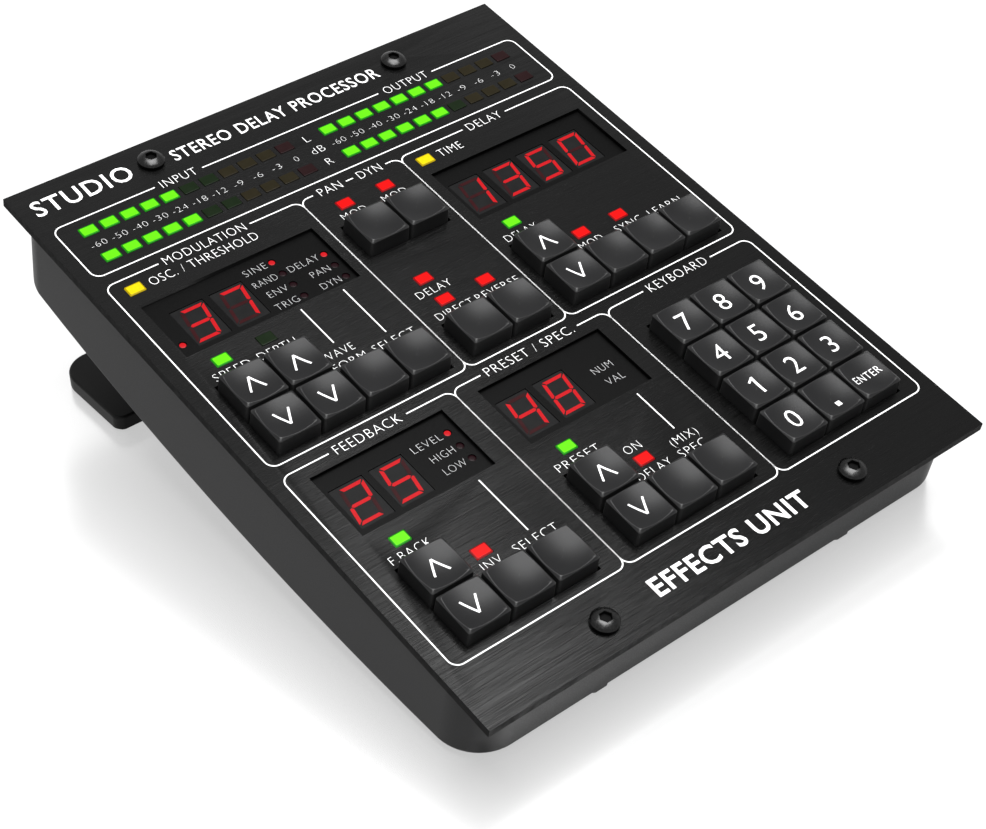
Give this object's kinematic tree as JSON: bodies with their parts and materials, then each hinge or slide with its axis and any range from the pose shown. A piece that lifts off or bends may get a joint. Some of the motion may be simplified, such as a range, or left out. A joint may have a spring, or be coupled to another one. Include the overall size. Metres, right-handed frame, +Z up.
{
  "type": "desktop effects controller",
  "caption": "Tilted desktop controller for a delay effect: brushed metal panel with square keys, lamp meters and digit displays on a shallow moulded tray with a rear stand.",
  "frame": {"origin": "on the table, below the middle of the whole object", "axes": "+X right, +Y to the rear along the table, +Z up; the front, with the word mark, faces -Y"},
  "size_m": [0.135, 0.1647, 0.0487],
  "materials": {
    "panel_metal": "black anodised, brushed across",
    "housing_plastic": "fine moulded texture",
    "stand_plastic": "fine moulded texture",
    "rubber": "matt",
    "black_screw": "black oxide, glossy",
    "steel_screw": "zinc plated",
    "mask_plastic": "matt black",
    "digit_face": "dark face with red segments",
    "lamp_green": "tinted diffused lens",
    "lamp_amber": "tinted diffused lens",
    "lamp_yellow": "tinted diffused lens",
    "lamp_red": "tinted diffused lens",
    "board_laminate": "solder resist on glass-epoxy",
    "chip_plastic": "matt moulded",
    "switch_plastic": "matt moulded",
    "connector_steel": "bright plated",
    "key_plastic": "satin moulded, printed legends"
  },
  "bodies": {
    "chassis": {"front_panel": "panel_metal", "housing_tray": "housing_plastic", "rear_stand": "stand_plastic", "stand_pad": "rubber", "front_feet": "rubber", "panel_screws": "black_screw", "stand_screws": "steel_screw", "board_screws": "steel_screw", "display_masks": "mask_plastic", "display_modulation": "digit_face", "display_delay": "digit_face", "display_feedback": "digit_face", "display_preset": "digit_face", "meter_leds_green": "lamp_green", "meter_leds_amber": "lamp_amber", "meter_leds_red": "lamp_red", "status_leds_green": "lamp_green", "status_leds_yellow": "lamp_yellow", "status_leds_red": "lamp_red", "main_board": "board_laminate", "board_chips": "chip_plastic", "key_switches": "switch_plastic", "usb_connector": "connector_steel"},
    "key_mod_speed_down": {"key_mod_speed_down": "key_plastic"},
    "key_mod_depth_down": {"key_mod_depth_down": "key_plastic"},
    "key_mod_waveform": {"key_mod_waveform": "key_plastic"},
    "key_mod_select": {"key_mod_select": "key_plastic"},
    "key_mod_speed_up": {"key_mod_speed_up": "key_plastic"},
    "key_mod_depth_up": {"key_mod_depth_up": "key_plastic"},
    "key_pan_mod": {"key_pan_mod": "key_plastic"},
    "key_dyn_mod": {"key_dyn_mod": "key_plastic"},
    "key_direct": {"key_direct": "key_plastic"},
    "key_reverse": {"key_reverse": "key_plastic"},
    "key_delay_down": {"key_delay_down": "key_plastic"},
    "key_delay_mod": {"key_delay_mod": "key_plastic"},
    "key_delay_sync": {"key_delay_sync": "key_plastic"},
    "key_delay_learn": {"key_delay_learn": "key_plastic"},
    "key_delay_up": {"key_delay_up": "key_plastic"},
    "key_feedback_down": {"key_feedback_down": "key_plastic"},
    "key_feedback_invert": {"key_feedback_invert": "key_plastic"},
    "key_feedback_select": {"key_feedback_select": "key_plastic"},
    "key_feedback_up": {"key_feedback_up": "key_plastic"},
    "key_preset_down": {"key_preset_down": "key_plastic"},
    "key_delay_on": {"key_delay_on": "key_plastic"},
    "key_spec": {"key_spec": "key_plastic"},
    "key_preset_up": {"key_preset_up": "key_plastic"},
    "key_0": {"key_0": "key_plastic"},
    "key_1": {"key_1": "key_plastic"},
    "key_2": {"key_2": "key_plastic"},
    "key_3": {"key_3": "key_plastic"},
    "key_4": {"key_4": "key_plastic"},
    "key_5": {"key_5": "key_plastic"},
    "key_6": {"key_6": "key_plastic"},
    "key_7": {"key_7": "key_plastic"},
    "key_8": {"key_8": "key_plastic"},
    "key_9": {"key_9": "key_plastic"},
    "key_point": {"key_point": "key_plastic"},
    "key_enter": {"key_enter": "key_plastic"}
  },
  "joints": [
    {"name": "key_mod_speed_down_press", "type": "slide", "parent": "chassis", "child": "key_mod_speed_down", "axis": [0, 0.1793, -0.9838], "range_m": [0, 0.0008], "stiffness_N_per_m": 1500, "springref_m": -0.0002},
    {"name": "key_mod_depth_down_press", "type": "slide", "parent": "chassis", "child": "key_mod_depth_down", "axis": [0, 0.1793, -0.9838], "range_m": [0, 0.0008], "stiffness_N_per_m": 1500, "springref_m": -0.0002},
    {"name": "key_mod_waveform_press", "type": "slide", "parent": "chassis", "child": "key_mod_waveform", "axis": [0, 0.1793, -0.9838], "range_m": [0, 0.0008], "stiffness_N_per_m": 1500, "springref_m": -0.0002},
    {"name": "key_mod_select_press", "type": "slide", "parent": "chassis", "child": "key_mod_select", "axis": [0, 0.1793, -0.9838], "range_m": [0, 0.0008], "stiffness_N_per_m": 1500, "springref_m": -0.0002},
    {"name": "key_mod_speed_up_press", "type": "slide", "parent": "chassis", "child": "key_mod_speed_up", "axis": [0, 0.1793, -0.9838], "range_m": [0, 0.0008], "stiffness_N_per_m": 1500, "springref_m": -0.0002},
    {"name": "key_mod_depth_up_press", "type": "slide", "parent": "chassis", "child": "key_mod_depth_up", "axis": [0, 0.1793, -0.9838], "range_m": [0, 0.0008], "stiffness_N_per_m": 1500, "springref_m": -0.0002},
    {"name": "key_pan_mod_press", "type": "slide", "parent": "chassis", "child": "key_pan_mod", "axis": [0, 0.1793, -0.9838], "range_m": [0, 0.0008], "stiffness_N_per_m": 1500, "springref_m": -0.0002},
    {"name": "key_dyn_mod_press", "type": "slide", "parent": "chassis", "child": "key_dyn_mod", "axis": [0, 0.1793, -0.9838], "range_m": [0, 0.0008], "stiffness_N_per_m": 1500, "springref_m": -0.0002},
    {"name": "key_direct_press", "type": "slide", "parent": "chassis", "child": "key_direct", "axis": [0, 0.1793, -0.9838], "range_m": [0, 0.0008], "stiffness_N_per_m": 1500, "springref_m": -0.0002},
    {"name": "key_reverse_press", "type": "slide", "parent": "chassis", "child": "key_reverse", "axis": [0, 0.1793, -0.9838], "range_m": [0, 0.0008], "stiffness_N_per_m": 1500, "springref_m": -0.0002},
    {"name": "key_delay_down_press", "type": "slide", "parent": "chassis", "child": "key_delay_down", "axis": [0, 0.1793, -0.9838], "range_m": [0, 0.0008], "stiffness_N_per_m": 1500, "springref_m": -0.0002},
    {"name": "key_delay_mod_press", "type": "slide", "parent": "chassis", "child": "key_delay_mod", "axis": [0, 0.1793, -0.9838], "range_m": [0, 0.0008], "stiffness_N_per_m": 1500, "springref_m": -0.0002},
    {"name": "key_delay_sync_press", "type": "slide", "parent": "chassis", "child": "key_delay_sync", "axis": [0, 0.1793, -0.9838], "range_m": [0, 0.0008], "stiffness_N_per_m": 1500, "springref_m": -0.0002},
    {"name": "key_delay_learn_press", "type": "slide", "parent": "chassis", "child": "key_delay_learn", "axis": [0, 0.1793, -0.9838], "range_m": [0, 0.0008], "stiffness_N_per_m": 1500, "springref_m": -0.0002},
    {"name": "key_delay_up_press", "type": "slide", "parent": "chassis", "child": "key_delay_up", "axis": [0, 0.1793, -0.9838], "range_m": [0, 0.0008], "stiffness_N_per_m": 1500, "springref_m": -0.0002},
    {"name": "key_feedback_down_press", "type": "slide", "parent": "chassis", "child": "key_feedback_down", "axis": [0, 0.1793, -0.9838], "range_m": [0, 0.0008], "stiffness_N_per_m": 1500, "springref_m": -0.0002},
    {"name": "key_feedback_invert_press", "type": "slide", "parent": "chassis", "child": "key_feedback_invert", "axis": [0, 0.1793, -0.9838], "range_m": [0, 0.0008], "stiffness_N_per_m": 1500, "springref_m": -0.0002},
    {"name": "key_feedback_select_press", "type": "slide", "parent": "chassis", "child": "key_feedback_select", "axis": [0, 0.1793, -0.9838], "range_m": [0, 0.0008], "stiffness_N_per_m": 1500, "springref_m": -0.0002},
    {"name": "key_feedback_up_press", "type": "slide", "parent": "chassis", "child": "key_feedback_up", "axis": [0, 0.1793, -0.9838], "range_m": [0, 0.0008], "stiffness_N_per_m": 1500, "springref_m": -0.0002},
    {"name": "key_preset_down_press", "type": "slide", "parent": "chassis", "child": "key_preset_down", "axis": [0, 0.1793, -0.9838], "range_m": [0, 0.0008], "stiffness_N_per_m": 1500, "springref_m": -0.0002},
    {"name": "key_delay_on_press", "type": "slide", "parent": "chassis", "child": "key_delay_on", "axis": [0, 0.1793, -0.9838], "range_m": [0, 0.0008], "stiffness_N_per_m": 1500, "springref_m": -0.0002},
    {"name": "key_spec_press", "type": "slide", "parent": "chassis", "child": "key_spec", "axis": [0, 0.1793, -0.9838], "range_m": [0, 0.0008], "stiffness_N_per_m": 1500, "springref_m": -0.0002},
    {"name": "key_preset_up_press", "type": "slide", "parent": "chassis", "child": "key_preset_up", "axis": [0, 0.1793, -0.9838], "range_m": [0, 0.0008], "stiffness_N_per_m": 1500, "springref_m": -0.0002},
    {"name": "key_0_press", "type": "slide", "parent": "chassis", "child": "key_0", "axis": [0, 0.1793, -0.9838], "range_m": [0, 0.0008], "stiffness_N_per_m": 1500, "springref_m": -0.0002},
    {"name": "key_1_press", "type": "slide", "parent": "chassis", "child": "key_1", "axis": [0, 0.1793, -0.9838], "range_m": [0, 0.0008], "stiffness_N_per_m": 1500, "springref_m": -0.0002},
    {"name": "key_2_press", "type": "slide", "parent": "chassis", "child": "key_2", "axis": [0, 0.1793, -0.9838], "range_m": [0, 0.0008], "stiffness_N_per_m": 1500, "springref_m": -0.0002},
    {"name": "key_3_press", "type": "slide", "parent": "chassis", "child": "key_3", "axis": [0, 0.1793, -0.9838], "range_m": [0, 0.0008], "stiffness_N_per_m": 1500, "springref_m": -0.0002},
    {"name": "key_4_press", "type": "slide", "parent": "chassis", "child": "key_4", "axis": [0, 0.1793, -0.9838], "range_m": [0, 0.0008], "stiffness_N_per_m": 1500, "springref_m": -0.0002},
    {"name": "key_5_press", "type": "slide", "parent": "chassis", "child": "key_5", "axis": [0, 0.1793, -0.9838], "range_m": [0, 0.0008], "stiffness_N_per_m": 1500, "springref_m": -0.0002},
    {"name": "key_6_press", "type": "slide", "parent": "chassis", "child": "key_6", "axis": [0, 0.1793, -0.9838], "range_m": [0, 0.0008], "stiffness_N_per_m": 1500, "springref_m": -0.0002},
    {"name": "key_7_press", "type": "slide", "parent": "chassis", "child": "key_7", "axis": [0, 0.1793, -0.9838], "range_m": [0, 0.0008], "stiffness_N_per_m": 1500, "springref_m": -0.0002},
    {"name": "key_8_press", "type": "slide", "parent": "chassis", "child": "key_8", "axis": [0, 0.1793, -0.9838], "range_m": [0, 0.0008], "stiffness_N_per_m": 1500, "springref_m": -0.0002},
    {"name": "key_9_press", "type": "slide", "parent": "chassis", "child": "key_9", "axis": [0, 0.1793, -0.9838], "range_m": [0, 0.0008], "stiffness_N_per_m": 1500, "springref_m": -0.0002},
    {"name": "key_point_press", "type": "slide", "parent": "chassis", "child": "key_point", "axis": [0, 0.1793, -0.9838], "range_m": [0, 0.0008], "stiffness_N_per_m": 1500, "springref_m": -0.0002},
    {"name": "key_enter_press", "type": "slide", "parent": "chassis", "child": "key_enter", "axis": [0, 0.1793, -0.9838], "range_m": [0, 0.0008], "stiffness_N_per_m": 1500, "springref_m": -0.0002}
  ]
}
